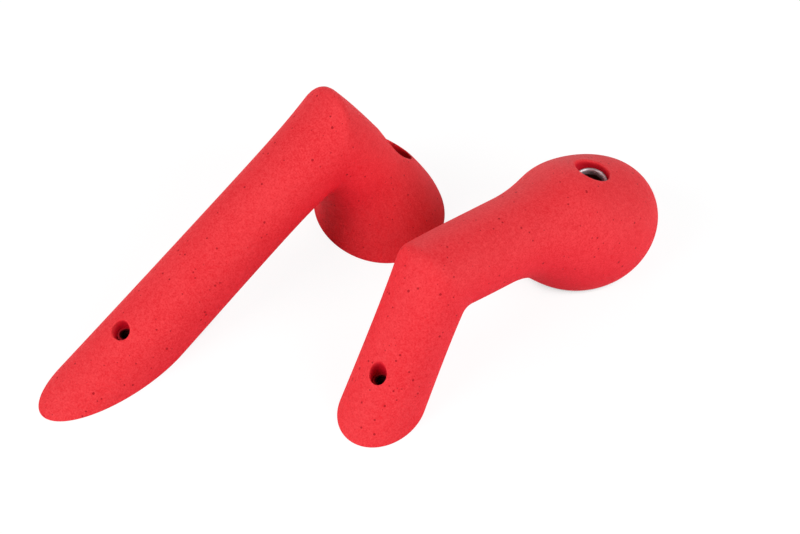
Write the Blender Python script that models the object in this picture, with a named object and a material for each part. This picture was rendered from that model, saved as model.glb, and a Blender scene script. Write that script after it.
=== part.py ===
"""A set of two cast climbing holds in bent-pipe form, lying on their flat backs.

Each hold is one casting. A round leg rises out of the wall plane, turns at a raised elbow into an
arm, and the arm runs down into a bulb that stands on the wall. A steel cup sits in the bolt
recess of the bulb, and a steel washer lies on the step of the screw recess near the toe.

The backs of both holds lie in the plane z = 0 and +Z points out of the wall. Sizes are in metres
and angles in degrees. A heading is the direction of a run seen from +Z, counted from +X to +Y.
"""
import math

import bmesh
import bpy
import numpy as np

# Both holds
PIPE_RADIUS = 0.0249
LEG_SWELL = 0.0011
ELBOW_BLEND_LENGTH = 0.010
FOOT_FLARE_HEIGHT = 0.025
TOE_TRIM = 0.0012
GAP = 0.0003

# Long hold: where its bulb stands, then the run of its arm and leg
LONG_BULB_X = -0.0494
LONG_BULB_Y = 0.0258
LONG_ARM_HEADING = -113.3
LONG_ARM_RUN = 0.0402
LONG_ARM_RADIUS = 0.0293
LONG_ARM_END_SETBACK = 0.0091
LONG_ARM_END_HEIGHT = 0.0309
LONG_ELBOW_HEIGHT = 0.0802
LONG_ELBOW_ROUNDING = 0.0042
LONG_LEG_HEADING = -88.2
LONG_LEG_RUN = 0.1751
LONG_BULB_HALF_LENGTH = 0.0427
LONG_BULB_HALF_WIDTH = 0.0497
LONG_BULB_RISE = 0.0458
LONG_BULB_CENTRE_HEIGHT = -0.0077
LONG_BULB_BLEND = 0.0225
LONG_FOOT_FLARE = 0.0023
LONG_BOLT_AHEAD = 0.0126
LONG_BOLT_SIDE = -0.0085
LONG_CUP_SINK = 0.0080
LONG_SCREW_SETBACK = 0.0047
LONG_SCREW_SIDE = 0.0008
LONG_SCREW_DEPTH = 0.0080

# Short hold
SHORT_BULB_X = 0.0665
SHORT_BULB_Y = 0.1038
SHORT_ARM_HEADING = -93.0
SHORT_ARM_RUN = 0.1346
SHORT_ARM_RADIUS = 0.0266
SHORT_ARM_END_SETBACK = 0.0266
SHORT_ARM_END_HEIGHT = 0.0547
SHORT_ELBOW_HEIGHT = 0.0689
SHORT_ELBOW_ROUNDING = 0.0052
SHORT_LEG_HEADING = -73.4
SHORT_LEG_RUN = 0.0570
SHORT_BULB_HALF_LENGTH = 0.0519
SHORT_BULB_HALF_WIDTH = 0.0455
SHORT_BULB_RISE = 0.0405
SHORT_BULB_CENTRE_HEIGHT = 0.0261
SHORT_BULB_BLEND = 0.0385
SHORT_FOOT_FLARE = 0.0011
SHORT_BOLT_AHEAD = 0.0019
SHORT_BOLT_SIDE = -0.0017
SHORT_CUP_SINK = 0.0052
SHORT_SCREW_SETBACK = -0.0008
SHORT_SCREW_SIDE = -0.0012
SHORT_SCREW_DEPTH = 0.0136

# Steel cup for the mounting bolt, and the bore that the bolt passes
CUP_RADIUS = 0.0111
CUP_HEIGHT = 0.0140
CUP_WALL = 0.0024
CUP_FLOOR = 0.0020
CUP_CORNER = 0.0020
CUP_INNER_CORNER = 0.0008
CUP_RIM_EDGE = 0.0005
CUP_MOUTH_REACH = 0.0017
CUP_MOUTH_DEPTH = 0.0040
BOLT_HOLE_RADIUS = 0.0054

# Steel washer for the set screw, and the bore that the screw passes
WASHER_RADIUS = 0.0054
WASHER_HOLE_RADIUS = 0.0032
WASHER_THICKNESS = 0.0012
WASHER_EDGE = 0.0002

# How finely the castings and the turned pieces are divided
SIDES = 36
RING_STEP = 0.0105
ELBOW_RINGS = 14
ELBOW_CROWDING = 1.4
ELBOW_FAN_REACH = 1.25
BULB_RINGS = 15
RAY_STEPS = 90
HALVINGS = 24
TURNED_SIDES = 36
CREASE_ANGLE = 35.0

# How far the cut-away parts of the skin and the cutters run past the faces that they end at
SKIN_OVERRUN = 0.0042
CUTTER_OVERRUN = 0.0060


def smooth_max(a, b, width):
    """The larger of a and b, with the crease between them rounded over width."""
    share = np.clip(0.5 + 0.5 * (a - b) / width, 0.0, 1.0)
    return b + (a - b) * share + width * share * (1.0 - share)


def along(heading):
    """The level unit vector of a heading in degrees."""
    angle = math.radians(heading)
    return np.array([math.cos(angle), math.sin(angle), 0.0])


def left_of(direction):
    """The level unit vector a quarter turn left of another."""
    return np.array([-direction[1], direction[0], 0.0])


def unit(vector):
    return vector / np.linalg.norm(vector)


class Hold:
    """The axes of one hold, worked out from its runs, headings and heights."""

    def __init__(self, name, bulb_x, bulb_y, arm_heading, arm_run, arm_radius, arm_end_setback,
                 arm_end_height, elbow_height, elbow_rounding, leg_heading, leg_run,
                 bulb_half_length, bulb_half_width, bulb_rise, bulb_centre_height, bulb_blend,
                 foot_flare, bolt_ahead, bolt_side, cup_sink, screw_setback, screw_side,
                 screw_depth):
        up = np.array([0.0, 0.0, 1.0])
        self.name = name
        self.toward_elbow = along(arm_heading)
        self.toward_toe = along(leg_heading)
        self.bulb_foot = np.array([bulb_x, bulb_y, 0.0])
        self.bulb_centre = self.bulb_foot + up * bulb_centre_height
        self.bulb_axes = np.array([bulb_half_length, bulb_half_width, bulb_rise])
        self.bulb_blend = bulb_blend
        self.foot_flare = foot_flare
        elbow_foot = self.bulb_foot + self.toward_elbow * arm_run
        self.elbow = elbow_foot + up * elbow_height
        self.elbow_rounding = elbow_rounding
        self.toe = elbow_foot + self.toward_toe * leg_run
        arm_end = self.bulb_foot + self.toward_elbow * arm_end_setback + up * arm_end_height
        self.arm_radius = arm_radius
        self.arm_length = np.linalg.norm(arm_end - self.elbow)
        self.arm = unit(arm_end - self.elbow)
        self.leg_length = np.linalg.norm(self.toe - self.elbow)
        self.leg = unit(self.toe - self.elbow)
        self.bend_axis = unit(np.cross(self.leg, self.arm))
        self.inward = unit(self.leg + self.arm)
        self.half_angle = math.acos(float(self.leg @ self.arm)) / 2.0
        self.bulb_side = left_of(self.toward_elbow)
        self.bolt_foot = (self.bulb_foot - self.toward_elbow * bolt_ahead
                          + self.bulb_side * bolt_side)
        self.cup_sink = cup_sink
        self.screw_foot = (self.toe - self.toward_toe * screw_setback
                           + left_of(self.toward_toe) * screw_side)
        self.screw_depth = screw_depth


LONG_HOLD = Hold(
    "long_hold", LONG_BULB_X, LONG_BULB_Y, LONG_ARM_HEADING, LONG_ARM_RUN, LONG_ARM_RADIUS,
    LONG_ARM_END_SETBACK, LONG_ARM_END_HEIGHT, LONG_ELBOW_HEIGHT, LONG_ELBOW_ROUNDING,
    LONG_LEG_HEADING, LONG_LEG_RUN, LONG_BULB_HALF_LENGTH, LONG_BULB_HALF_WIDTH, LONG_BULB_RISE,
    LONG_BULB_CENTRE_HEIGHT, LONG_BULB_BLEND, LONG_FOOT_FLARE, LONG_BOLT_AHEAD, LONG_BOLT_SIDE,
    LONG_CUP_SINK, LONG_SCREW_SETBACK, LONG_SCREW_SIDE, LONG_SCREW_DEPTH)
SHORT_HOLD = Hold(
    "short_hold", SHORT_BULB_X, SHORT_BULB_Y, SHORT_ARM_HEADING, SHORT_ARM_RUN, SHORT_ARM_RADIUS,
    SHORT_ARM_END_SETBACK, SHORT_ARM_END_HEIGHT, SHORT_ELBOW_HEIGHT, SHORT_ELBOW_ROUNDING,
    SHORT_LEG_HEADING, SHORT_LEG_RUN, SHORT_BULB_HALF_LENGTH, SHORT_BULB_HALF_WIDTH,
    SHORT_BULB_RISE, SHORT_BULB_CENTRE_HEIGHT, SHORT_BULB_BLEND, SHORT_FOOT_FLARE,
    SHORT_BOLT_AHEAD, SHORT_BOLT_SIDE, SHORT_CUP_SINK, SHORT_SCREW_SETBACK, SHORT_SCREW_SIDE,
    SHORT_SCREW_DEPTH)


def depth(points, hold):
    """How far points lie outside the casting, less than zero inside it.

    The leg and arm are one bent pipe: its offset in the plane of the bend is the larger of the
    offsets from the two axes, which gives a mitred elbow with a rounded corner. Its radius swells
    a little towards the toe. The bulb is an ellipsoid that flares at its foot, joined to the pipe
    with a hollow fillet.
    """
    from_elbow = points - hold.elbow
    leg_side = np.cross(hold.leg, hold.bend_axis)
    arm_side = np.cross(hold.bend_axis, hold.arm)
    bend = smooth_max(from_elbow @ leg_side, from_elbow @ arm_side, hold.elbow_rounding)
    across = from_elbow @ hold.bend_axis
    onto_arm = from_elbow @ unit(hold.arm - hold.leg)
    arm_share = 0.5 + 0.5 * np.tanh(onto_arm / (2.0 * ELBOW_BLEND_LENGTH))
    past_end = np.maximum(from_elbow @ hold.arm - hold.arm_length, 0.0) * arm_share
    down_leg = np.maximum(from_elbow @ hold.leg, 0.0) / hold.leg_length
    leg_radius = PIPE_RADIUS + LEG_SWELL * down_leg ** 2
    radius = leg_radius + (hold.arm_radius - PIPE_RADIUS) * arm_share
    pipe = np.sqrt(bend ** 2 + across ** 2 + past_end ** 2) - radius
    from_bulb = points - hold.bulb_centre
    half_length, half_width, rise = hold.bulb_axes
    near_wall = np.maximum(1.0 - points[..., 2] / FOOT_FLARE_HEIGHT, 0.0)
    flare = 1.0 + hold.foot_flare / half_width * near_wall ** 2
    local = np.stack([from_bulb @ hold.toward_elbow / (half_length * flare),
                      from_bulb @ hold.bulb_side / (half_width * flare),
                      from_bulb[..., 2] / rise], -1)
    bulb = (np.linalg.norm(local, axis=-1) - 1.0) * half_width
    return -smooth_max(-pipe, -bulb, hold.bulb_blend)


def turned_about(vector, axis, angle):
    """A vector turned about a unit axis square to it."""
    return vector * math.cos(angle) + np.cross(axis, vector) * math.sin(angle)


def leg_rings(hold, first):
    """Rings square to the leg, from below the wall up to first from the elbow."""
    slope = -hold.leg[2]
    below_wall = PIPE_RADIUS * math.sqrt(1.0 - slope ** 2) / slope + SKIN_OVERRUN
    reach = hold.leg_length + below_wall
    count = math.ceil((reach - first) / RING_STEP)
    for distance in np.linspace(reach, first, count + 1)[:-1]:
        yield hold.elbow + hold.leg * distance, -hold.leg


def elbow_rings(hold, pivot_distance):
    """Rings that fan about a pivot inside the bend, closer together at the mitre."""
    pivot = hold.elbow + hold.inward * pivot_distance
    to_axis = pivot_distance * math.sin(hold.half_angle)
    span = math.pi / 2.0 - hold.half_angle
    mitre = unit(hold.arm - hold.leg)
    for step in np.linspace(1.0, -1.0, ELBOW_RINGS + 1):
        angle = span * math.copysign(abs(step) ** ELBOW_CROWDING, step)
        outward = turned_about(-hold.inward, hold.bend_axis, angle)
        centre = pivot + outward * to_axis / math.cos(span - abs(angle))
        yield centre, turned_about(mitre, hold.bend_axis, angle)


def bulb_rings(hold, foot_distance):
    """Rings that fan from the arm down to the wall about a pivot under the arm."""
    pivot = hold.bulb_foot + hold.toward_elbow * foot_distance
    pivot[2] = -SKIN_OVERRUN
    level = np.cross(hold.toward_elbow, [0.0, 0.0, 1.0])
    out_of_arm = np.cross(hold.arm, level)
    first = (hold.elbow - pivot) @ out_of_arm
    span = math.pi / 2.0 - math.asin(-hold.arm[2])
    for share in np.linspace(0.0, 1.0, BULB_RINGS + 1):
        outward = turned_about(out_of_arm, level, span * share)
        distance = first * (1.0 - share) + foot_distance * share
        yield pivot + outward * distance, turned_about(hold.arm, level, span * share)


def rings(hold):
    """Centres and normals of the rings that carry the skin, from the toe to the bulb's foot."""
    widest = max(PIPE_RADIUS, hold.arm_radius)
    pivot_distance = ELBOW_FAN_REACH * widest / math.sin(hold.half_angle)
    found = list(leg_rings(hold, pivot_distance * math.cos(hold.half_angle)))
    found += list(elbow_rings(hold, pivot_distance))
    bulb = list(bulb_rings(hold, hold.bulb_axes[0] + hold.bulb_blend / 2.0))
    start = (found[-1][0] - hold.elbow) @ hold.arm
    end = (bulb[0][0] - hold.elbow) @ hold.arm
    count = max(1, math.ceil((end - start) / RING_STEP))
    for distance in np.linspace(start, end, count + 1)[1:-1]:
        found.append((hold.elbow + hold.arm * distance, hold.arm))
    found += bulb
    return np.array([centre for centre, _ in found]), np.array([normal for _, normal in found])


def spokes(normals, start):
    """Unit vectors round each ring, carried along from ring to ring without twist."""
    angles = np.linspace(0.0, 2.0 * math.pi, SIDES, endpoint=False)
    first = unit(start - normals[0] * (start @ normals[0]))
    out = []
    for normal in normals:
        first = unit(first - normal * (first @ normal))
        second = np.cross(normal, first)
        out.append(np.outer(np.cos(angles), first) + np.outer(np.sin(angles), second))
    return np.array(out)


def reach_skin(centres, rays, hold):
    """Walk out along the rays to the first place where they leave the casting."""
    longest = hold.bulb_axes.max() + 2.0 * hold.arm_radius
    trial = np.linspace(0.0, longest, RAY_STEPS)
    values = depth(centres[:, None, None] + rays[:, :, None] * trial[:, None], hold)
    outside = values > 0.0
    outside[..., 0] = False
    last = np.clip(outside.argmax(-1), 1, RAY_STEPS - 1)
    low, high = trial[last - 1], trial[last]
    for _ in range(HALVINGS):
        middle = (low + high) / 2.0
        inside = depth(centres[:, None] + rays * middle[..., None], hold) < 0.0
        low = np.where(inside, middle, low)
        high = np.where(inside, high, middle)
    return centres[:, None] + rays * ((low + high) / 2.0)[..., None]


def way_to_skin(start, direction, longest, hold):
    """How far a straight way runs inside the casting, found by halving."""
    low, high = 0.0, longest
    for _ in range(HALVINGS):
        middle = (low + high) / 2.0
        if depth(start + direction * middle, hold) < 0.0:
            low = middle
        else:
            high = middle
    return low


def surface_height(x, y, hold):
    """Height of the casting's top above the wall at x, y."""
    highest = hold.elbow[2] + 2.0 * hold.arm_radius
    return way_to_skin(np.array([x, y, 0.0]), np.array([0.0, 0.0, 1.0]), highest, hold)


def rim_heights(foot, radius, hold):
    """Highest and lowest place of the casting's top round a vertical bore."""
    turns = np.linspace(0.0, 2.0 * math.pi, TURNED_SIDES, endpoint=False)
    heights = [surface_height(foot[0] + radius * math.cos(turn), foot[1] + radius * math.sin(turn),
                              hold) for turn in turns]
    return max(heights), min(heights)


def new_object(name, mesh, material, parent):
    item = bpy.data.objects.new(name, mesh)
    bpy.context.scene.collection.objects.link(item)
    if material:
        mesh.materials.append(material)
    item.parent = parent
    return item


def flat_cut(body, point, kept_side):
    """Cut a skin with a plane and close it with one flat face."""
    everything = body.verts[:] + body.edges[:] + body.faces[:]
    bmesh.ops.bisect_plane(body, geom=everything, dist=1e-7, plane_co=point, plane_no=kept_side,
                           clear_inner=True)
    open_edges = [edge for edge in body.edges if edge.is_boundary]
    bmesh.ops.holes_fill(body, edges=open_edges, sides=0)


def casting(hold, material, parent):
    """The cast body: the skin of the rings, cut flat by the wall plane and blunt at the toe."""
    centres, normals = rings(hold)
    skin = reach_skin(centres, spokes(normals, np.array([1.0, 0.0, 0.0])), hold)
    body = bmesh.new()
    rows = [[body.verts.new(point) for point in ring] for ring in skin]
    for lower, upper in zip(rows, rows[1:]):
        for side in range(SIDES):
            after = (side + 1) % SIDES
            body.faces.new((lower[side], lower[after], upper[after], upper[side]))
    flat_cut(body, (0.0, 0.0, 0.0), (0.0, 0.0, 1.0))
    tip = way_to_skin(hold.toe, hold.toward_toe, hold.leg_length, hold)
    flat_cut(body, hold.toe + hold.toward_toe * (tip - TOE_TRIM), -hold.toward_toe)
    bmesh.ops.recalc_face_normals(body, faces=body.faces[:])
    mesh = bpy.data.meshes.new(hold.name + "_body")
    body.to_mesh(mesh)
    body.free()
    return new_object(hold.name + "_body", mesh, material, parent)


def turned_piece(name, profile, foot, material, parent):
    """A ring or plug turned about a vertical axis from a closed outline of radius and height."""
    piece = bmesh.new()
    rows = []
    for radius, height in profile:
        if radius == 0.0:
            rows.append([piece.verts.new((0.0, 0.0, height))] * TURNED_SIDES)
            continue
        turns = [2.0 * math.pi * side / TURNED_SIDES for side in range(TURNED_SIDES)]
        rows.append([piece.verts.new((radius * math.cos(turn), radius * math.sin(turn), height))
                     for turn in turns])
    for lower, upper in zip(rows, rows[1:] + rows[:1]):
        for side in range(TURNED_SIDES):
            after = (side + 1) % TURNED_SIDES
            corners = list(dict.fromkeys((lower[side], lower[after], upper[after], upper[side])))
            if len(corners) > 2:
                piece.faces.new(corners)
    bmesh.ops.recalc_face_normals(piece, faces=piece.faces[:])
    mesh = bpy.data.meshes.new(name)
    piece.to_mesh(mesh)
    piece.free()
    item = new_object(name, mesh, material, parent)
    item.location = (foot[0], foot[1], 0.0)
    return item


def cut(body, cutter):
    """Take the cutter out of the body, and keep it as a guide that isn't part of the model."""
    cutter.hide_render = True
    cutter.display_type = "WIRE"
    modifier = body.modifiers.new(cutter.name, "BOOLEAN")
    modifier.operation = "DIFFERENCE"
    modifier.object = cutter


def stepped_cutter(name, foot, bore_radius, recess_radius, seat, top, parent):
    """A plug for a bore through the back and a wider recess from the seat up."""
    profile = [(0.0, -CUTTER_OVERRUN), (bore_radius, -CUTTER_OVERRUN), (bore_radius, seat),
               (recess_radius, seat), (recess_radius, top), (0.0, top)]
    return turned_piece(name, profile, foot, None, parent)


def arc(centre_radius, centre_height, radius, rise, start, stop, count):
    """Points of an outline along an arc, by angle in degrees from the outward direction.

    The arc is round where its rise is its radius, and part of an ellipse elsewhere.
    """
    turns = np.radians(np.linspace(start, stop, count))
    return [(centre_radius + radius * math.cos(turn), centre_height + rise * math.sin(turn))
            for turn in turns]


def bolt_cup(hold, material, body, parent):
    """The steel cup that the bolt head bears in, with its recess and the bolt's bore."""
    recess_radius = CUP_RADIUS + GAP
    highest, lowest = rim_heights(hold.bolt_foot, recess_radius, hold)
    top = lowest - hold.cup_sink
    seat = top - CUP_HEIGHT
    cut(body, stepped_cutter(hold.name + "_bolt_cutter", hold.bolt_foot, BOLT_HOLE_RADIUS,
                             recess_radius, seat - GAP, highest + CUTTER_OVERRUN, parent))
    inner = CUP_RADIUS - CUP_WALL
    profile = [(BOLT_HOLE_RADIUS, seat)]
    profile += arc(CUP_RADIUS - CUP_CORNER, seat + CUP_CORNER, CUP_CORNER, CUP_CORNER, -90.0,
                   0.0, 6)
    profile += arc(CUP_RADIUS - CUP_RIM_EDGE, top - CUP_RIM_EDGE, CUP_RIM_EDGE, CUP_RIM_EDGE,
                   0.0, 90.0, 4)
    profile += arc(inner + CUP_MOUTH_REACH, top - CUP_MOUTH_DEPTH, CUP_MOUTH_REACH,
                   CUP_MOUTH_DEPTH, 90.0, 180.0, 8)
    profile += arc(inner - CUP_INNER_CORNER, seat + CUP_FLOOR + CUP_INNER_CORNER,
                   CUP_INNER_CORNER, CUP_INNER_CORNER, 0.0, -90.0, 4)
    profile += [(BOLT_HOLE_RADIUS, seat + CUP_FLOOR)]
    return turned_piece(hold.name + "_bolt_cup", profile, hold.bolt_foot, material, parent)


def screw_washer(hold, material, body, parent):
    """The steel washer under the set screw's head, with its recess and the screw's bore."""
    recess_radius = WASHER_RADIUS + GAP
    highest, _ = rim_heights(hold.screw_foot, recess_radius, hold)
    seat = surface_height(hold.screw_foot[0], hold.screw_foot[1], hold) - hold.screw_depth
    cut(body, stepped_cutter(hold.name + "_screw_cutter", hold.screw_foot, WASHER_HOLE_RADIUS,
                             recess_radius, seat - GAP, highest + CUTTER_OVERRUN, parent))
    top = seat + WASHER_THICKNESS
    profile = [(WASHER_HOLE_RADIUS, seat), (WASHER_RADIUS - WASHER_EDGE, seat),
               (WASHER_RADIUS, seat + WASHER_EDGE), (WASHER_RADIUS, top - WASHER_EDGE),
               (WASHER_RADIUS - WASHER_EDGE, top), (WASHER_HOLE_RADIUS, top)]
    return turned_piece(hold.name + "_screw_washer", profile, hold.screw_foot, material, parent)


def finish(name, colour, roughness, metallic):
    material = bpy.data.materials.new(name)
    material.use_nodes = True
    shader = material.node_tree.nodes["Principled BSDF"]
    shader.inputs["Base Color"].default_value = (*colour, 1.0)
    shader.inputs["Roughness"].default_value = roughness
    shader.inputs["Metallic"].default_value = metallic
    return material


def shade(item):
    """Smooth shading with creases left sharp."""
    item.data.shade_smooth()
    item.data.set_sharp_from_angle(angle=math.radians(CREASE_ANGLE))


for old in list(bpy.data.objects):
    bpy.data.objects.remove(old, do_unlink=True)

frame = bpy.data.objects.new("set_frame", None)
bpy.context.scene.collection.objects.link(frame)
low, high = np.full(3, np.inf), np.full(3, -np.inf)
for hold in (LONG_HOLD, SHORT_HOLD):
    polyurethane = finish(hold.name + "_polyurethane", (0.80, 0.035, 0.045), 0.8, 0.0)
    cup_steel = finish(hold.name + "_cup_steel", (0.55, 0.55, 0.54), 0.3, 1.0)
    washer_steel = finish(hold.name + "_washer_steel", (0.60, 0.60, 0.59), 0.35, 1.0)
    body = casting(hold, polyurethane, frame)
    corners = np.array([vertex.co for vertex in body.data.vertices])
    low, high = np.minimum(low, corners.min(0)), np.maximum(high, corners.max(0))
    for piece in (body, bolt_cup(hold, cup_steel, body, frame),
                  screw_washer(hold, washer_steel, body, frame)):
        shade(piece)

# The set stands with its middle over the origin
middle = (low + high) / 2.0
frame.location = (-middle[0], -middle[1], 0.0)
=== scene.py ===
"""A set of two cast climbing holds in bent-pipe form, lying on their flat backs.

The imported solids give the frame. The castings and their steel inserts are worked out again here
on finer grids, with the soft lips, the rounded back edge and the finishes of the real pieces.
Sizes are in metres and angles in degrees. The wall plane is z = 0 and +Z points out of the wall.
"""
import math

import bmesh
import bpy
import numpy as np
from mathutils import Matrix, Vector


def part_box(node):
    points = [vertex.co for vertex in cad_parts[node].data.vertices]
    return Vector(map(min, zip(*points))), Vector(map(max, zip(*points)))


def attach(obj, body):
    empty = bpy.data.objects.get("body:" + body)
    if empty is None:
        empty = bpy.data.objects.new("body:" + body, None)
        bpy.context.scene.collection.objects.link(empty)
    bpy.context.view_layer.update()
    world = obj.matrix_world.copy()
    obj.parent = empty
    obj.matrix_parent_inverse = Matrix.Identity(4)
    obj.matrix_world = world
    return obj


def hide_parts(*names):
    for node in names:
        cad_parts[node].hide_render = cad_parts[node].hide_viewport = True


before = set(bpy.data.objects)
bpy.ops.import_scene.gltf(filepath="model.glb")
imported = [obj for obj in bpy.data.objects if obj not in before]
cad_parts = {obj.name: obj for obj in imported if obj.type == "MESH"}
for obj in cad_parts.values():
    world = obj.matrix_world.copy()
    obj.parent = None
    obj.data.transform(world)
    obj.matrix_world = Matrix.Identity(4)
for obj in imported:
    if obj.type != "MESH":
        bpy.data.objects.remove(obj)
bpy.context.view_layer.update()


# The two castings
# Each hold is one pour of matte red polyurethane: a round leg rises out of the wall plane to a
# mitred elbow, and an arm runs down into a bulb with the bolt recess. The backs are cut flat, so
# that the hold lies tight on the wall. The finish is the fine sandy grain of the mould.
PIPE_RADIUS = 0.0249
LEG_SWELL = 0.0011
ELBOW_BLEND_LENGTH = 0.010
FOOT_FLARE_HEIGHT = 0.025


def smooth_max(a, b, width):
    """The larger of a and b, with the crease between them rounded over width."""
    share = np.clip(0.5 + 0.5 * (a - b) / width, 0.0, 1.0)
    return b + (a - b) * share + width * share * (1.0 - share)


def along(heading):
    """The level unit vector of a heading, counted from +X to +Y."""
    angle = math.radians(heading)
    return np.array([math.cos(angle), math.sin(angle), 0.0])


def left_of(direction):
    """The level unit vector a quarter turn left of another."""
    return np.array([-direction[1], direction[0], 0.0])


def unit(vectors):
    """Vectors divided by their own lengths."""
    return vectors / np.linalg.norm(vectors, axis=-1, keepdims=True)


def turned_about(vector, axis, angles):
    """A vector turned about a unit axis, once for each angle in radians.

    The share along the axis stays, and the rest turns in the plane square to it.
    """
    angles = np.asarray(angles)[..., None]
    kept = axis * (vector @ axis)
    return kept + (vector - kept) * np.cos(angles) + np.cross(axis, vector) * np.sin(angles)


class Hold:
    """The axes of one hold, worked out from its runs, headings and heights."""

    def __init__(self, name, bulb, arm_heading, arm_run, arm_radius, arm_end, elbow_height,
                 elbow_rounding, leg_heading, leg_run, bulb_axes, bulb_centre_height, bulb_blend,
                 foot_flare, bolt, screw):
        up = np.array([0.0, 0.0, 1.0])
        self.name = name
        self.toward_elbow = along(arm_heading)
        self.toward_toe = along(leg_heading)
        self.bulb_side = left_of(self.toward_elbow)
        self.bulb_foot = np.array([*bulb, 0.0])
        self.bulb_centre = self.bulb_foot + up * bulb_centre_height
        self.bulb_axes = np.array(bulb_axes)
        self.bulb_blend = bulb_blend
        self.foot_flare = foot_flare
        elbow_foot = self.bulb_foot + self.toward_elbow * arm_run
        self.elbow = elbow_foot + up * elbow_height
        self.elbow_rounding = elbow_rounding
        self.toe = elbow_foot + self.toward_toe * leg_run
        setback, height = arm_end
        to_arm_end = self.bulb_foot + self.toward_elbow * setback + up * height - self.elbow
        self.arm_radius = arm_radius
        self.arm_length = np.linalg.norm(to_arm_end)
        self.arm = unit(to_arm_end)
        self.leg_length = np.linalg.norm(self.toe - self.elbow)
        self.leg = unit(self.toe - self.elbow)
        self.bend_axis = unit(np.cross(self.leg, self.arm))
        self.inward = unit(self.leg + self.arm)
        self.half_angle = math.acos(float(self.leg @ self.arm)) / 2.0
        ahead, side = bolt
        self.bolt_foot = self.bulb_foot - self.toward_elbow * ahead + self.bulb_side * side
        setback, side, lean, side_lean, widening = screw
        toe_side = left_of(self.toward_toe)
        self.screw_foot = self.toe - self.toward_toe * setback + toe_side * side
        self.screw_lean = self.toward_toe * lean + toe_side * side_lean
        self.screw_widening = widening


LONG_HOLD = Hold(
    "long_hold", bulb=(-0.0494, 0.0258), arm_heading=-113.3, arm_run=0.0402, arm_radius=0.0293,
    arm_end=(0.0091, 0.0309), elbow_height=0.0802, elbow_rounding=0.0042, leg_heading=-88.2,
    leg_run=0.1751, bulb_axes=(0.0427, 0.0497, 0.0458), bulb_centre_height=-0.0077,
    bulb_blend=0.0225, foot_flare=0.0023, bolt=(0.0126, -0.0085),
    screw=(0.0047, 0.0008, 0.46, -0.30, 0.0014))
SHORT_HOLD = Hold(
    "short_hold", bulb=(0.0665, 0.1038), arm_heading=-93.0, arm_run=0.1346, arm_radius=0.0266,
    arm_end=(0.0266, 0.0547), elbow_height=0.0689, elbow_rounding=0.0052, leg_heading=-73.4,
    leg_run=0.0570, bulb_axes=(0.0519, 0.0455, 0.0405), bulb_centre_height=0.0261,
    bulb_blend=0.0385, foot_flare=0.0011, bolt=(0.0019, -0.0017),
    screw=(-0.0008, -0.0012, 0.24, -0.14, 0.0003))

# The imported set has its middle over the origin, and a cup's place tells how far that shifts all
cup_low, cup_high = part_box("long_hold_bolt_cup")
SET_SHIFT = np.array((cup_low + cup_high) / 2.0) - LONG_HOLD.bolt_foot
SET_SHIFT[2] = 0.0


def depth(points, hold):
    """How far points lie outside the casting, less than zero inside it.

    The leg and arm are one bent pipe: its offset in the plane of the bend is the larger of the
    offsets from the two axes, which gives a mitred elbow with a rounded corner, and its radius
    swells towards the toe. The bulb is an ellipsoid that flares at its foot, joined to the pipe
    with a hollow fillet.
    """
    from_elbow = points - hold.elbow
    leg_side = np.cross(hold.leg, hold.bend_axis)
    arm_side = np.cross(hold.bend_axis, hold.arm)
    bend = smooth_max(from_elbow @ leg_side, from_elbow @ arm_side, hold.elbow_rounding)
    across = from_elbow @ hold.bend_axis
    onto_arm = from_elbow @ unit(hold.arm - hold.leg)
    arm_share = 0.5 + 0.5 * np.tanh(onto_arm / (2.0 * ELBOW_BLEND_LENGTH))
    past_end = np.maximum(from_elbow @ hold.arm - hold.arm_length, 0.0) * arm_share
    down_leg = np.maximum(from_elbow @ hold.leg, 0.0) / hold.leg_length
    leg_radius = PIPE_RADIUS + LEG_SWELL * down_leg ** 2
    radius = leg_radius + (hold.arm_radius - PIPE_RADIUS) * arm_share
    pipe = np.sqrt(bend ** 2 + across ** 2 + past_end ** 2) - radius
    from_bulb = points - hold.bulb_centre
    half_length, half_width, rise = hold.bulb_axes
    near_wall = np.maximum(1.0 - points[..., 2] / FOOT_FLARE_HEIGHT, 0.0)
    flare = 1.0 + hold.foot_flare / half_width * near_wall ** 2
    local = np.stack([from_bulb @ hold.toward_elbow / (half_length * flare),
                      from_bulb @ hold.bulb_side / (half_width * flare),
                      from_bulb[..., 2] / rise], -1)
    bulb = (np.linalg.norm(local, axis=-1) - 1.0) * half_width
    return -smooth_max(-pipe, -bulb, hold.bulb_blend)


SIDES = 240
RING_STEP = 0.00115
ELBOW_RINGS = 56
ELBOW_CROWDING = 1.3
ELBOW_FAN_REACH = 1.25
BULB_RINGS = 100
SKIN_OVERRUN = 0.0042


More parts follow.
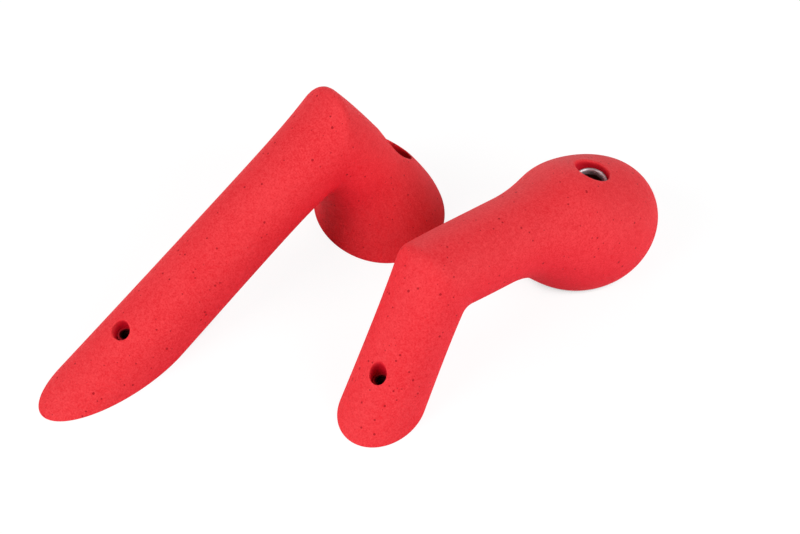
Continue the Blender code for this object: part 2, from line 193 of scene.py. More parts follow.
def spine(hold):
    """Centres, normals and first spokes of the rings that carry the skin.

    The rings are square to the leg from below the wall up to the elbow, fan about a pivot inside
    the bend, are square to the arm, and fan about a pivot under the arm down to the wall.
    """
    slope = -hold.leg[2]
    below_wall = PIPE_RADIUS * math.sqrt(1.0 - slope ** 2) / slope + SKIN_OVERRUN
    reach = ELBOW_FAN_REACH * hold.arm_radius
    pivot_distance = reach / math.sin(hold.half_angle)
    down = np.arange(hold.leg_length + below_wall, pivot_distance * math.cos(hold.half_angle),
                     -RING_STEP)
    leg_centres = hold.elbow + np.outer(down, hold.leg)

    span = math.pi / 2.0 - hold.half_angle
    share = np.linspace(1.0, -1.0, ELBOW_RINGS)
    turn = span * np.sign(share) * np.abs(share) ** ELBOW_CROWDING
    outward = turned_about(-hold.inward, hold.bend_axis, turn)
    pivot = hold.elbow + hold.inward * pivot_distance
    elbow_centres = pivot + outward * (reach / np.cos(span - np.abs(turn)))[:, None]
    elbow_normals = turned_about(unit(hold.arm - hold.leg), hold.bend_axis, turn)

    foot_distance = hold.bulb_axes[0] + hold.bulb_blend / 2.0
    pivot = hold.bulb_foot + hold.toward_elbow * foot_distance
    pivot[2] = -SKIN_OVERRUN
    level = np.cross(hold.toward_elbow, [0.0, 0.0, 1.0])
    out_of_arm = np.cross(hold.arm, level)
    first_distance = (hold.elbow - pivot) @ out_of_arm
    share = np.linspace(0.0, 1.0, BULB_RINGS)
    turn = (math.pi / 2.0 - math.asin(-hold.arm[2])) * share
    distance = first_distance * (1.0 - share) + foot_distance * share
    bulb_centres = pivot + turned_about(out_of_arm, level, turn) * distance[:, None]
    bulb_normals = turned_about(hold.arm, level, turn)
    bulb_first = turned_about(hold.bend_axis, level, turn)

    start = (elbow_centres[-1] - hold.elbow) @ hold.arm
    end = (bulb_centres[0] - hold.elbow) @ hold.arm
    on_arm = np.arange(start + RING_STEP, end - RING_STEP / 2.0, RING_STEP)
    arm_centres = hold.elbow + np.outer(on_arm, hold.arm)

    centres = np.concatenate([leg_centres, elbow_centres, arm_centres, bulb_centres])
    normals = np.concatenate([np.tile(-hold.leg, (len(down), 1)), elbow_normals,
                              np.tile(hold.arm, (len(on_arm), 1)), bulb_normals])
    straight = len(centres) - BULB_RINGS
    first = np.concatenate([np.tile(hold.bend_axis, (straight, 1)), bulb_first])
    return centres, normals, first


STEPS_OUT = 70
STEP_SHARE = 0.8


def reach_skin(starts, rays, outside):
    """Step along the rays by a share of what is left until the given field is zero."""
    way = np.zeros(rays.shape[:-1])
    for _ in range(STEPS_OUT):
        way -= STEP_SHARE * outside(starts + rays * way[..., None])
    return starts + rays * way[..., None]


def skin_grid(hold):
    """The skin as rings by spokes: each point is where a spoke of a ring leaves the casting."""
    centres, normals, first = spine(hold)
    angles = np.linspace(0.0, 2.0 * math.pi, SIDES, endpoint=False)[None, :, None]
    second = np.cross(normals, first)
    rays = np.cos(angles) * first[:, None] + np.sin(angles) * second[:, None]
    starts = np.broadcast_to(centres[:, None], rays.shape)
    return reach_skin(starts, rays, lambda points: depth(points, hold))


HALVINGS = 26


def skin_height(places, hold):
    """Height of the casting's top over level places, found by halving."""
    low = np.zeros(places.shape[:-1])
    high = np.full_like(low, hold.elbow[2] + 2.0 * hold.arm_radius)
    for _ in range(HALVINGS):
        middle = (low + high) / 2.0
        inside = depth(np.concatenate([places[..., :2], middle[..., None]], -1), hold) < 0.0
        low, high = np.where(inside, middle, low), np.where(inside, high, middle)
    return low


AXIS_PASSES = 12
LIP_ROWS = 22
LIP_CROWDING = 1.5
WALL_ROWS = 34
WALL_CROWDING = 1.6
SEAT_ROWS = 4
BORE_ROWS = 10


class Recess:
    """A round recess with a soft lip, a flat seat and an upright bore to the back.

    Level cuts of it are circles. The axis stands over the bore at the seat and may lean from
    there by a level way per height, and the wall may flare by a widening per height. The lip is
    the width over which skin and wall are rounded, and the mouth's rows begin at a level reach
    outside the wall.
    """

    def __init__(self, foot, wall_radius, bore_radius, seat, lean, flare, lip, reach):
        self.foot = foot
        self.wall_radius = wall_radius
        self.bore_radius = bore_radius
        self.seat = seat
        self.lean = lean
        self.flare = flare
        self.lip = lip
        self.reach = reach

    def axis(self, height):
        """Where the axis is at a height."""
        return self.foot + self.lean * (height - self.seat) + height * np.array([0.0, 0.0, 1.0])

    def wall(self, height):
        """How far the wall lies from the axis at a height."""
        return self.wall_radius + self.flare * (height - self.seat)

    def past_wall(self, points):
        """How far points lie outside the wall, measured on the level."""
        level = np.linalg.norm((points - self.axis(points[..., 2:]))[..., :2], axis=-1)
        return level - self.wall(points[..., 2])

    def on_skin(self, outward, margin, hold):
        """Places of the casting's top at a level margin outside the wall."""
        height = np.full((*outward.shape[:-1], 1), self.seat)
        for _ in range(AXIS_PASSES):
            places = self.axis(height) + outward * (self.wall(height) + margin)
            height = skin_height(places, hold)[..., None]
        return self.axis(height) + outward * (self.wall(height) + margin)

    def grid(self, hold, sides):
        """Rows of points from the skin round the mouth down to the back.

        The sharp profile follows the skin inwards to the wall and then the wall down. Each of
        its points moves into the material along the line that halves the corner, to where the
        rounded corner of skin and wall lies. The seat and the bore follow.
        """
        turns = 2.0 * math.pi * (np.arange(sides) + 0.5) / sides
        outward = np.stack([np.cos(turns), np.sin(turns), np.zeros(sides)], -1)
        step = np.linspace(1.0, 0.0, LIP_ROWS)[:, None, None]
        margin = self.reach * step ** LIP_CROWDING
        on_skin = self.on_skin(np.broadcast_to(outward, (LIP_ROWS, sides, 3)), margin, hold)
        corner = on_skin[-1]
        deep = np.linspace(0.0, 1.0, WALL_ROWS)[1:, None] ** WALL_CROWDING
        height = (corner[:, 2] * (1.0 - deep) + self.seat * deep)[..., None]
        wall = self.axis(height) + outward * self.wall(height)
        away = self.on_skin(outward, self.lip, hold)
        halving_line = unit(unit(away - corner) + unit(wall[-1] - corner))

        def rounded(points):
            return -smooth_max(depth(points, hold), -self.past_wall(points), self.lip)

        sharp = np.concatenate([on_skin, wall])
        lines = np.broadcast_to(halving_line, sharp.shape)
        mouth = reach_skin(sharp, lines, rounded)
        mouth[-1] = self.foot + outward * self.wall_radius + [0.0, 0.0, self.seat]
        inwards = np.linspace(self.wall_radius, self.bore_radius, SEAT_ROWS)[1:, None, None]
        seat = self.foot + outward * inwards + [0.0, 0.0, self.seat]
        down = np.linspace(self.seat, 0.0, BORE_ROWS)[1:, None, None]
        bore = self.foot + outward * self.bore_radius + down * [0.0, 0.0, 1.0]
        return np.concatenate([mouth, seat, bore])


def sheet_faces(rows, sides, kept=None):
    """Corner numbers of the faces of a grid that is closed round its rows."""
    number = np.arange(rows * sides).reshape(rows, sides)
    after = np.roll(number, -1, axis=1)
    faces = np.stack([number[:-1], after[:-1], after[1:], number[1:]], -1)
    return faces[kept] if kept is not None else faces.reshape(-1, 4)


def add_sheet(body, points, faces):
    """Put a sheet of faces into a body that is being built."""
    mesh = bpy.data.meshes.new("sheet")
    mesh.from_pydata(points.reshape(-1, 3), [], faces)
    body.from_mesh(mesh)
    bpy.data.meshes.remove(mesh)


MOUTH_MARGIN = 0.0006
PINCH_PASSES = 4


def taken_away(skin, recess):
    """Which faces of the skin a recess takes away.

    A face goes when a corner of it lies close to the mouth. Where two lost faces would touch at
    one corner only, the other two faces at that corner go as well.
    """
    close = recess.past_wall(skin) < recess.reach + MOUTH_MARGIN
    close &= skin[..., 2] > recess.seat
    across = close | np.roll(close, -1, axis=1)
    lost = across[:-1] | across[1:]
    for _ in range(PINCH_PASSES):
        before = np.roll(lost, 1, axis=1)
        pinched = before[:-1] & lost[1:] & ~lost[:-1] & ~before[1:]
        pinched |= lost[:-1] & before[1:] & ~before[:-1] & ~lost[1:]
        both = pinched | np.roll(pinched, -1, axis=1)
        lost[:-1] |= both
        lost[1:] |= both
    return lost


def rim_size(lost):
    """How many corners lie on the edge between lost and kept faces."""
    before = np.roll(lost, 1, axis=1)
    round_corner = np.stack([before[:-1], lost[:-1], before[1:], lost[1:]])
    return int((round_corner.any(0) & ~round_corner.all(0)).sum())


BACK_EDGE = 0.0004
EDGE_SHARES = (0.06, 0.2, 0.42, 0.7, 1.0)
ON_SKIN = 0.0001
SLOPE_STEP = 0.00001
CUT_SNAP = 1e-7


def corner_places(mesh):
    """The places of a mesh's corners as an array."""
    places = np.empty(3 * len(mesh.vertices), np.float32)
    mesh.vertices.foreach_get("co", places)
    return places.reshape(-1, 3).astype(float)


def ease_back_edge(body, hold):
    """Draw the skin in by a quarter circle next to the back.

    Rows of corners are let in just above the back, and every corner of the skin there moves
    inwards on the level by the circle's share at its height.
    """
    for share in EDGE_SHARES:
        everything = body.verts[:] + body.edges[:] + body.faces[:]
        bmesh.ops.bisect_plane(body, geom=everything, dist=CUT_SNAP, plane_no=(0.0, 0.0, 1.0),
                               plane_co=(0.0, 0.0, BACK_EDGE * share))
    mesh = bpy.data.meshes.new("eased")
    body.to_mesh(mesh)
    body.clear()
    places = corner_places(mesh)
    low = (places[:, 2] < BACK_EDGE) & (np.abs(depth(places, hold)) < ON_SKIN)
    near = places[low]
    slope = np.stack([depth(near + step, hold) - depth(near - step, hold)
                      for step in SLOPE_STEP * np.eye(3)[:2]], -1) / (2.0 * SLOPE_STEP)
    share = np.clip(1.0 - near[:, 2:] / BACK_EDGE, 0.0, 1.0)
    drawn_in = BACK_EDGE * (1.0 - np.sqrt(1.0 - share ** 2))
    places[low, :2] -= slope * drawn_in / (slope ** 2).sum(-1, keepdims=True)
    mesh.vertices.foreach_set("co", places.astype(np.float32).ravel())
    body.from_mesh(mesh)
    bpy.data.meshes.remove(mesh)


MOUTH_SEARCH = 0.006


def casting(hold, recesses):
    """The cast body: the skin, with a recess let in at each mouth, cut flat by the wall."""
    skin = skin_grid(hold)
    lost = [taken_away(skin, recess) for recess in recesses]
    body = bmesh.new()
    add_sheet(body, skin, sheet_faces(len(skin), SIDES, ~np.any(lost, axis=0)))
    bmesh.ops.delete(body, geom=[vert for vert in body.verts if not vert.link_faces],
                     context="VERTS")
    everything = body.verts[:] + body.edges[:] + body.faces[:]
    bmesh.ops.bisect_plane(body, geom=everything, dist=CUT_SNAP, plane_co=(0.0, 0.0, 0.0),
                           plane_no=(0.0, 0.0, 1.0), clear_inner=True)
    ease_back_edge(body, hold)
    for recess, gone in zip(recesses, lost):
        sheet = recess.grid(hold, rim_size(gone))
        add_sheet(body, sheet, sheet_faces(*sheet.shape[:2]))
        open_edges = [edge for edge in body.edges if edge.is_boundary]
        ends = np.array([[vert.co for vert in edge.verts] for edge in open_edges])
        past = recess.past_wall(ends)
        at_mouth = (past > 0.0) & (past < recess.reach + MOUTH_SEARCH)
        at_mouth &= ends[..., 2] > recess.seat
        loops = [edge for edge, chosen in zip(open_edges, at_mouth.all(-1)) if chosen]
        bmesh.ops.bridge_loops(body, edges=loops)
    open_edges = [edge for edge in body.edges if edge.is_boundary]
    bmesh.ops.triangle_fill(body, edges=open_edges, use_beauty=False, use_dissolve=False,
                            normal=(0.0, 0.0, -1.0))
    bmesh.ops.recalc_face_normals(body, faces=body.faces[:])
    return body


CREASE_ANGLE = 32.0
FACING_BACK = -0.9999


def off_the_back(mesh):
    """Which faces don't lie flat towards the wall."""
    normals = np.empty(3 * len(mesh.polygons), np.float32)
    mesh.polygons.foreach_get("normal", normals)
    return normals[2::3] > FACING_BACK


def placed(body, name, node, material):
    """Turn a built body into a finished piece that stands for its solid."""
    mesh = bpy.data.meshes.new(name)
    body.to_mesh(mesh)
    body.free()
    mesh.transform(Matrix.Translation(SET_SHIFT))
    mesh.materials.append(material)
    mesh.shade_smooth()
    mesh.set_sharp_from_angle(angle=math.radians(CREASE_ANGLE))
    mesh.polygons.foreach_set("use_smooth", off_the_back(mesh))
    piece = bpy.data.objects.new(name, mesh)
    bpy.context.scene.collection.objects.link(piece)
    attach(piece, "root")
    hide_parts(node)
    return piece


class Value:
    """A number that varies over a surface: arithmetic on it adds Math nodes to its finish."""

    def __init__(self, finish, socket):
        self.finish = finish
        self.socket = socket

    def joined(self, operation, first, second):
        """What a Math node makes of two values or numbers."""
        node = self.finish.node("Math", {"operation": operation}, {0: first, 1: second})
        return Value(self.finish, node.outputs[0])

    def __add__(self, other):
        return self.joined("ADD", self, other)

    __radd__ = __add__

    def __sub__(self, other):
        return self.joined("SUBTRACT", self, other)

    def __rsub__(self, other):
        return self.joined("SUBTRACT", other, self)

    def __mul__(self, other):
        return self.joined("MULTIPLY", self, other)

    __rmul__ = __mul__

    def __truediv__(self, other):
        return self.joined("DIVIDE", self, other)

    def __lt__(self, other):
        return self.joined("LESS_THAN", self, other)

    def power(self, exponent):
        """The value raised to a power."""
        return self.joined("POWER", self, exponent)

    def eased(self, low, high):
        """Nought below low, one above high, and a smooth rise between."""
        node = self.finish.node("MapRange", {"interpolation_type": "SMOOTHSTEP"},
                                {"Value": self, "From Min": low, "From Max": high})
        return Value(self.finish, node.outputs["Result"])


class Finish:
    """A material whose nodes are added by the same few calls."""

    def __init__(self, name):
        self.material = bpy.data.materials.new(name)
        self.material.use_nodes = True
        self.tree = self.material.node_tree
        self.tree.nodes.clear()
        on_piece = self.node("TexCoord")
        self.place = on_piece.outputs["Object"]
        self.facing = on_piece.outputs["Normal"]

    def node(self, kind, settings=(), sockets=()):
        """A node with its settings made first, then its sockets set or linked."""
        node = self.tree.nodes.new("ShaderNode" + kind)
        for name, setting in dict(settings).items():
            setattr(node, name, setting)
        for name, value in dict(sockets).items():
            if isinstance(value, Value):
                value = value.socket
            if isinstance(value, bpy.types.NodeSocket):
                self.tree.links.new(value, node.inputs[name])
            else:
                node.inputs[name].default_value = value
        return node

    def noise(self, size, detail=2.0, roughness=0.5):
        """Soft noise whose features are about size across, in metres."""
        node = self.node("TexNoise", {}, {"Vector": self.place, "Scale": 1.0 / size,
                                          "Detail": detail, "Roughness": roughness})
        return Value(self, node.outputs["Fac"])

    def blend(self, share, low, high):
        """A colour between low and high."""
        node = self.node("Mix", {"data_type": "RGBA"}, {0: share, 6: low, 7: high})
        return node.outputs[2]

    def bump(self, height, distance, strength, normal=None):
        """A normal tilted by a height that spans a distance, on top of another normal if given."""
        sockets = {"Height": height, "Distance": distance, "Strength": strength}
        if normal is not None:
            sockets["Normal"] = normal
        return self.node("Bump", {}, sockets).outputs["Normal"]

    def surface(self, **sockets):
        """The finished material: a Principled shader with these values in its sockets."""
        named = {name.replace("_", " "): value for name, value in sockets.items()}
        shader = self.node("BsdfPrincipled", {}, named)
        self.node("OutputMaterial", {}, {"Surface": shader.outputs[0]})
        return self.material


PAINTED_SHADE_DEPTH = 0.008


def mark_painted_shade(piece, hold, recesses):
    """Store how hollow the casting is at each face's corners: 0.5 down a recess, 1 in a bore.

    The finish darkens the red by this share as painted shade down the recesses and in the bores.
    The faces of the flat back keep nought, so that nothing shows round a bore's end there.
    """
    mesh = piece.data
    places = corner_places(mesh) - SET_SHIFT
    # This share sets how much painted shade the red takes
    share = np.clip(-depth(places, hold) / PAINTED_SHADE_DEPTH, 0.0, 1.0) * (places[:, 2] > ON_SKIN) / 2.0
    for recess in recesses:
        level = np.linalg.norm((places - recess.foot)[:, :2], axis=-1)
        share[(level < recess.bore_radius + ON_SKIN) & (places[:, 2] < recess.seat + ON_SKIN)] = 1.0
    sides = np.empty(len(mesh.polygons), np.int32)
    mesh.polygons.foreach_get("loop_total", sides)
    corners = np.empty(len(mesh.loops), np.int32)
    mesh.loops.foreach_get("vertex_index", corners)
    share = share[corners] * np.repeat(off_the_back(mesh), sides)
    mark = mesh.attributes.new("hollow", "FLOAT", "CORNER")
    mark.data.foreach_set("value", share.astype(np.float32))


BRIGHT_RED = (0.87, 0.051, 0.060, 1.0)
DEEP_RED = (0.75, 0.015, 0.024, 1.0)
# Painted shade: deeper reds, with less green and blue, for sides and undersides
SHADED_BRIGHT_RED = (0.86, 0.014, 0.036, 1.0)
SHADED_DEEP_RED = (0.74, 0.0, 0.012, 1.0)
# Painted shade inside the pin holes
PIT_SHADE_RED = (0.40, 0.0, 0.006, 1.0)
# Painted shade down the recesses, and near black painted shade in the bores
RECESS_PAINTED_SHADE = (0.60, 0.001, 0.015, 1.0)
BORE_PAINTED_SHADE = (0.040, 0.001, 0.002, 1.0)
CLOUD_SIZE = 0.030
CLOUD_CONTRAST = 0.5
MOTTLE_SIZE = 0.0034
MOTTLE_CONTRAST = 1.0
MOTTLE_DEPTH = 0.0003
GRAIN_SIZE = 0.0011
GRAIN_CONTRAST = 3.0
GRAIN_DEPTH = 0.0004
PIT_SPACING = 0.0040
PIT_SHARE = 0.55
PIT_DEPTH = 0.0004
PIT_SHADE_STRENGTH = 0.9
SMALL_PIT = 0.08
LARGE_PIT = 0.26
PIT_EDGE = (0.55, 1.1)
SHADE_FACING_RANGE = (-0.7, 0.9)
RECESS_SHADE_RANGE = (0.01, 0.26)
BORE_SHADE_RANGE = (0.5, 0.9)
CAST_ROUGHNESS = 0.62
GRAIN_ROUGHNESS = 0.10
SHEEN = 0.20


def cast_polyurethane(name):
    """Matte red casting: faint clouds and mottling, a sandy grain, and scattered pin holes.

    The red is deeper on sides and undersides as painted shade, where the surface turns from above.
    A pin hole's radius is a share of the spacing. It is drawn for each cell, and squaring the draw
    makes small ones common. The pin holes are painted dark as painted shade in them, and the red
    darkens down the recesses and in the bores as painted shade.
    """
    finish = Finish(name)
    clouds = finish.noise(CLOUD_SIZE)
    mottle = finish.noise(MOTTLE_SIZE, detail=3.0, roughness=0.6)
    grain = finish.noise(GRAIN_SIZE, detail=3.0, roughness=0.7)
    cells = finish.node("TexVoronoi", {"feature": "F1"},
                        {"Vector": finish.place, "Scale": 1.0 / PIT_SPACING})
    draw = finish.node("SeparateColor", {}, {"Color": cells.outputs["Color"]})
    chosen = Value(finish, draw.outputs[0]) < PIT_SHARE
    radius = SMALL_PIT + (LARGE_PIT - SMALL_PIT) * Value(finish, draw.outputs[1]).power(2.0)
    way = Value(finish, cells.outputs["Distance"]) / radius
    pits = (1.0 - way.eased(*PIT_EDGE)) * chosen
    shade = ((grain - 0.5) * GRAIN_CONTRAST + (mottle - 0.5) * MOTTLE_CONTRAST
             + (clouds - 0.5) * CLOUD_CONTRAST + 0.5)
    split = finish.node("SeparateXYZ", {}, {"Vector": finish.facing})
    # Painted shade: the more a surface faces down, the more it takes the deeper shaded reds
    up = Value(finish, split.outputs["Z"]).eased(*SHADE_FACING_RANGE)
    deep = finish.blend(up, SHADED_DEEP_RED, DEEP_RED)
    bright = finish.blend(up, SHADED_BRIGHT_RED, BRIGHT_RED)
    colour = finish.blend(shade, deep, bright)
    # Painted shade: the pin holes are darkened
    colour = finish.blend(pits * PIT_SHADE_STRENGTH, colour, PIT_SHADE_RED)
    mark = finish.node("Attribute", {"attribute_name": "hollow"})
    hollow = Value(finish, mark.outputs["Fac"])
    # Painted shade: darker down the recesses and near black in the bores
    colour = finish.blend(hollow.eased(*RECESS_SHADE_RANGE), colour, RECESS_PAINTED_SHADE)
    colour = finish.blend(hollow.eased(*BORE_SHADE_RANGE), colour, BORE_PAINTED_SHADE)
    normal = finish.bump(grain, GRAIN_DEPTH, strength=0.8)
    normal = finish.bump(mottle, MOTTLE_DEPTH, strength=0.5, normal=normal)
    normal = finish.bump(1.0 - pits, PIT_DEPTH, strength=0.15, normal=normal)
    roughness = CAST_ROUGHNESS + GRAIN_ROUGHNESS * grain
    return finish.surface(Base_Color=colour, Roughness=roughness, Normal=normal,
                          Specular_IOR_Level=SHEEN)


CUP_RADIUS = 0.0111
CUP_GAP = 0.0003
BOLT_HOLE_RADIUS = 0.0054
WASHER_RADIUS = 0.0054
WASHER_HOLE_RADIUS = 0.0032
BOLT_LIP = 0.0022
BOLT_REACH = 0.0044
SCREW_LIP = 0.0009
SCREW_REACH = 0.0018

for hold in (LONG_HOLD, SHORT_HOLD):
    cup_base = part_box(hold.name + "_bolt_cup")[0].z
    washer_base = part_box(hold.name + "_screw_washer")[0].z
    flare = hold.screw_widening / (skin_height(hold.screw_foot, hold) - washer_base)
    bolt_recess = Recess(foot=hold.bolt_foot, wall_radius=CUP_RADIUS + CUP_GAP,
                         bore_radius=BOLT_HOLE_RADIUS, seat=cup_base - CUP_GAP,
                         lean=np.zeros(3), flare=0.0, lip=BOLT_LIP, reach=BOLT_REACH)
    screw_recess = Recess(foot=hold.screw_foot, wall_radius=WASHER_RADIUS + CUP_GAP,
                          bore_radius=WASHER_HOLE_RADIUS, seat=washer_base - CUP_GAP,
                          lean=hold.screw_lean, flare=flare, lip=SCREW_LIP, reach=SCREW_REACH)
    recesses = (bolt_recess, screw_recess)
    piece = placed(casting(hold, recesses), hold.name + "_casting", hold.name + "_body",
                   cast_polyurethane(hold.name + "_cast_red"))
    mark_painted_shade(piece, hold, recesses)


# The steel inserts
# A cup of zinc-plated steel is moulded into each bolt recess, where the bolt's head bears,
# and a stamped washer into each screw recess. Both stay just clear of the plastic.
CUP_HEIGHT = 0.0140
CUP_WALL = 0.0024
CUP_FLOOR = 0.0020
CUP_CORNER = 0.0020
CUP_INNER_CORNER = 0.0008
CUP_RIM_EDGE = 0.0005
CUP_MOUTH_REACH = 0.0017
CUP_MOUTH_DEPTH = 0.0040
WASHER_THICKNESS = 0.0012
WASHER_EDGE = 0.0003
HOLE_EDGE = 0.0003
TURNED_SIDES = 128
SEAM_WELD = 1e-6


def arc(centre_radius, centre_height, radius, rise, start, stop, count):
    """Points of an outline along an arc, by angle from the outward direction.

    The arc is round where its rise is its radius, and part of an ellipse elsewhere.
    """
    turns = np.radians(np.linspace(start, stop, count))
    return np.stack([centre_radius + radius * np.cos(turns),
                     centre_height + rise * np.sin(turns)], -1)


def turned(outline, foot, base):
    """A ring turned about an upright axis: each outline point carried round a circle."""
    turns = np.linspace(0.0, 2.0 * math.pi, TURNED_SIDES, endpoint=False)
    outline = np.concatenate([outline, outline[:1]])
    radius, height = outline[:, 0, None], outline[:, 1, None]
    points = np.stack([foot[0] + radius * np.cos(turns), foot[1] + radius * np.sin(turns),
                       base + height + 0.0 * turns], -1)
    body = bmesh.new()
    add_sheet(body, points, sheet_faces(*points.shape[:2]))
    bmesh.ops.remove_doubles(body, verts=body.verts[:], dist=SEAM_WELD)
    bmesh.ops.recalc_face_normals(body, faces=body.faces[:])
    return body


def cup_outline():
    """Foot, rounded corner, wall, rim, flared mouth, and the inside down to the floor."""
    inner = CUP_RADIUS - CUP_WALL
    return np.concatenate([
        [[BOLT_HOLE_RADIUS, 0.0]],
        arc(CUP_RADIUS - CUP_CORNER, CUP_CORNER, CUP_CORNER, CUP_CORNER, -90.0, 0.0, count=12),
        arc(CUP_RADIUS - CUP_RIM_EDGE, CUP_HEIGHT - CUP_RIM_EDGE, CUP_RIM_EDGE, CUP_RIM_EDGE,
            0.0, 90.0, count=6),
        arc(inner + CUP_MOUTH_REACH, CUP_HEIGHT - CUP_MOUTH_DEPTH, CUP_MOUTH_REACH,
            CUP_MOUTH_DEPTH, 90.0, 180.0, count=20),
        arc(inner - CUP_INNER_CORNER, CUP_FLOOR + CUP_INNER_CORNER, CUP_INNER_CORNER,
            CUP_INNER_CORNER, 0.0, -90.0, count=8),
        arc(BOLT_HOLE_RADIUS + HOLE_EDGE, CUP_FLOOR - HOLE_EDGE, HOLE_EDGE, HOLE_EDGE,
            90.0, 180.0, count=5)])


def washer_outline():
    """A flat ring with its outer edges eased."""
    middle = WASHER_RADIUS - WASHER_EDGE
    return np.concatenate([
        [[WASHER_HOLE_RADIUS, 0.0]],
        arc(middle, WASHER_EDGE, WASHER_EDGE, WASHER_EDGE, -90.0, 0.0, count=5),
        arc(middle, WASHER_THICKNESS - WASHER_EDGE, WASHER_EDGE, WASHER_EDGE, 0.0, 90.0, count=5),
        arc(WASHER_HOLE_RADIUS + HOLE_EDGE, WASHER_THICKNESS - HOLE_EDGE, HOLE_EDGE, HOLE_EDGE,
            90.0, 180.0, count=4)])


BRIGHT_ZINC = (0.76, 0.74, 0.77, 1.0)
DULL_ZINC = (0.60, 0.58, 0.61, 1.0)
# Painted shade down inside the cup, below a bright band at the rim
CUP_SHADE_STEEL = (0.130, 0.035, 0.030, 1.0)
BRIGHT_RIM_DEPTH = 0.0038
SHADE_FADE = 0.0006
ZINC_CLOUDS = 0.0030
CLOUD_EDGE = (0.35, 0.65)
ZINC_GRAIN = 0.0004
ZINC_GRAIN_DEPTH = 0.00003
ZINC_ROUGHNESS = 0.46
CLOUD_ROUGHNESS = 0.16
SHADED_ROUGHNESS = 0.10


def cup_steel(name, dark_below):
    """Zinc-plated steel with cloudy spots, dark below a wavering height as painted shade inside the
    cup.
    """
    finish = Finish(name)
    clouds = finish.noise(ZINC_CLOUDS, detail=4.0, roughness=0.6)
    fine = finish.noise(ZINC_GRAIN)
    split = finish.node("SeparateXYZ", {}, {"Vector": finish.place})
    height = Value(finish, split.outputs["Z"]) + (clouds - 0.5) * (2.0 * SHADE_FADE)
    # Painted shade: below this wavering height the steel is dark and rougher
    plated = height.eased(dark_below - SHADE_FADE, dark_below + SHADE_FADE)
    colour = finish.blend(clouds.eased(*CLOUD_EDGE), DULL_ZINC, BRIGHT_ZINC)
    colour = finish.blend(plated, CUP_SHADE_STEEL, colour)
    normal = finish.bump(fine, ZINC_GRAIN_DEPTH, strength=0.3)
    roughness = ZINC_ROUGHNESS + CLOUD_ROUGHNESS * clouds + SHADED_ROUGHNESS * (1.0 - plated)
    return finish.surface(Base_Color=colour, Roughness=roughness, Normal=normal, Metallic=1.0)


# Painted reflection of the red walls in shade, and painted shade round the hole
WASHER_REFLECTION_RED = (0.42, 0.001, 0.012, 1.0)
SHADED_STEEL = (0.05, 0.003, 0.005, 1.0)
REFLECTION_START = 0.0038
REFLECTION_END = 0.0050
REFLECTION_WAVER = 0.0008
WASHER_ROUGHNESS = 0.5
WASHER_CLOUD_ROUGHNESS = 0.1


def washer_steel(name, middle):
    """Steel painted dark round its hole as painted shade, and red towards the edge as a painted
    reflection of the red walls.
    """
    finish = Finish(name)
    clouds = finish.noise(ZINC_CLOUDS, detail=4.0, roughness=0.6)
    apart = finish.node("VectorMath", {"operation": "DISTANCE"}, {0: finish.place, 1: middle})
    way = Value(finish, apart.outputs["Value"]) + (clouds - 0.5) * REFLECTION_WAVER
    # Painted reflection: red towards the edge, over dark painted shade round the hole
    reflection_share = way.eased(REFLECTION_START, REFLECTION_END)
    colour = finish.blend(reflection_share, SHADED_STEEL, WASHER_REFLECTION_RED)
    roughness = WASHER_ROUGHNESS + WASHER_CLOUD_ROUGHNESS * clouds
    return finish.surface(Base_Color=colour, Roughness=roughness, Metallic=1.0 - reflection_share)


for hold in (LONG_HOLD, SHORT_HOLD):
    cup_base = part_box(hold.name + "_bolt_cup")[0].z
    placed(turned(cup_outline(), hold.bolt_foot, cup_base), hold.name + "_steel_cup",
           hold.name + "_bolt_cup",
           cup_steel(hold.name + "_cup_zinc", cup_base + CUP_HEIGHT - BRIGHT_RIM_DEPTH))
    washer_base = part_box(hold.name + "_screw_washer")[0].z
    washer_top = hold.screw_foot + SET_SHIFT + [0.0, 0.0, washer_base + WASHER_THICKNESS]
    placed(turned(washer_outline(), hold.screw_foot, washer_base), hold.name + "_steel_washer",
           hold.name + "_screw_washer",
           washer_steel(hold.name + "_washer_zinc", washer_top))


# The studio
# A white table under soft light: broad lamps at the left and the right of the camera, weaker
# ones low at the right and behind the set, and faint light from all round.
CAMERA_BEARING = 45.0
CAMERA_ELEVATION = 50.0
CAMERA_ROLL = 3.0
CAMERA_DISTANCE = 1.3033
FOCAL_PIXELS = 1955.0
PICTURE_WIDTH = 800.0
SENSOR_WIDTH = 36.0
CAMERA_SHIFT = (-0.0006, 0.0008)


def place_facing(item, right, back, place):
    """Put a camera or lamp at a place, by its right and the direction it looks away from."""
    axes = np.stack([right, np.cross(back, right), back, place], -1)
    item.matrix_world = Matrix([*axes.tolist(), [0.0, 0.0, 0.0, 1.0]])
    bpy.context.scene.collection.objects.link(item)


toward_camera = (math.cos(math.radians(CAMERA_ELEVATION)) * along(CAMERA_BEARING - 90.0)
                 + [0.0, 0.0, math.sin(math.radians(CAMERA_ELEVATION))])
level_right = along(CAMERA_BEARING)
camera_up = np.cross(toward_camera, level_right)
roll = math.radians(CAMERA_ROLL)
rolled_right = math.cos(roll) * level_right + math.sin(roll) * camera_up
camera = bpy.data.objects.new("camera", bpy.data.cameras.new("camera"))
camera.data.sensor_width = SENSOR_WIDTH
camera.data.lens = SENSOR_WIDTH * FOCAL_PIXELS / PICTURE_WIDTH
camera.data.shift_x, camera.data.shift_y = CAMERA_SHIFT
place_facing(camera, rolled_right, toward_camera, SET_SHIFT + CAMERA_DISTANCE * toward_camera)
bpy.context.scene.camera = camera

LAMP_DISTANCE = 2.4
LAMP_SIZE = 1.5

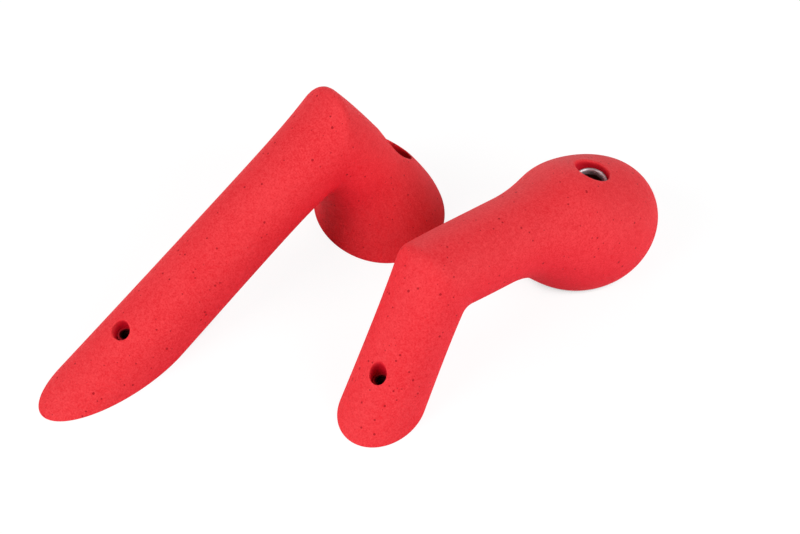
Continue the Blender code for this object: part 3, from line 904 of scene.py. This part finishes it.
# Each lamp's direction is given to the camera's right, away from it and up
for name, (right, away, up), power in (("left_lamp", (-0.71, -0.41, 0.57), 47.0),
                                       ("right_lamp", (0.71, -0.41, 0.57), 30.0),
                                       ("low_right_lamp", (0.98, 0.0, 0.21), 13.5),
                                       ("rear_lamp", (0.0, 0.98, 0.21), 23.0)):
    aim = unit(level_right * right + left_of(level_right) * away + np.array([0.0, 0.0, up]))
    light = bpy.data.lights.new(name, "AREA")
    light.shape = "SQUARE"
    light.size = LAMP_SIZE
    light.energy = power
    lamp = bpy.data.objects.new(name, light)
    place_facing(lamp, unit(np.cross([0.0, 1.0, 0.0], aim)), aim, aim * LAMP_DISTANCE)

# The air lights the set faintly and looks as white as the table
WHITE = (1.0, 1.0, 1.0, 1.0)
AIR_LIGHT = 0.17

world = bpy.data.worlds.new("studio")
world.use_nodes = True
air = world.node_tree.nodes
lit_air = air["Background"]
lit_air.inputs["Color"].default_value = WHITE
lit_air.inputs["Strength"].default_value = AIR_LIGHT
seen_air = air.new("ShaderNodeBackground")
seen_air.inputs["Color"].default_value = WHITE
by_ray = air.new("ShaderNodeMixShader")
ray_kind = air.new("ShaderNodeLightPath")
for start, end in ((ray_kind.outputs["Is Camera Ray"], by_ray.inputs[0]),
                   (lit_air.outputs[0], by_ray.inputs[1]),
                   (seen_air.outputs[0], by_ray.inputs[2]),
                   (by_ray.outputs[0], air["World Output"].inputs["Surface"])):
    world.node_tree.links.new(start, end)
bpy.context.scene.world = world

# The table bounces light like white card. To the eye it glows and keeps a faint shadow, and its
# glow gives way to painted shade only where it is covered, as at the ends of the bores.
FLOOR_HALF = 4.0
FLOOR_DROP = 0.0002
CARD_WHITE = (0.88, 0.88, 0.88, 1.0)
SHADOW_GREY = (0.12, 0.12, 0.12, 1.0)
TABLE_GLOW = 0.91
COVER_REACH = 0.030
COVER_SAMPLES = 16
OPEN_SHARE = (0.02, 0.34)

floor_mesh = bpy.data.meshes.new("table_top")
floor_mesh.from_pydata([(x, y, -FLOOR_DROP) for x, y in
                        ((-FLOOR_HALF, -FLOOR_HALF), (FLOOR_HALF, -FLOOR_HALF),
                         (FLOOR_HALF, FLOOR_HALF), (-FLOOR_HALF, FLOOR_HALF))],
                       [], [(0, 1, 2, 3)])
table = Finish("white_table")
card = table.node("BsdfDiffuse", {}, {"Color": CARD_WHITE}).outputs[0]
shadow = table.node("BsdfDiffuse", {}, {"Color": SHADOW_GREY}).outputs[0]
glow = table.node("Emission", {}, {"Color": WHITE, "Strength": TABLE_GLOW}).outputs[0]
bright = table.node("AddShader", {}, {0: shadow, 1: glow}).outputs[0]
# Painted shade where the table is covered
cover = table.node("AmbientOcclusion", {"samples": COVER_SAMPLES}, {"Distance": COVER_REACH})
uncovered = Value(table, cover.outputs["AO"]).eased(*OPEN_SHARE)
shown = table.node("MixShader", {}, {0: uncovered, 1: shadow, 2: bright}).outputs[0]
seen = table.node("LightPath").outputs["Is Camera Ray"]
top = table.node("MixShader", {}, {0: seen, 1: card, 2: shown}).outputs[0]
table.node("OutputMaterial", {}, {"Surface": top})
floor_mesh.materials.append(table.material)
floor = bpy.data.objects.new("table_top", floor_mesh)
bpy.context.scene.collection.objects.link(floor)

bpy.context.scene.view_settings.view_transform = "Standard"
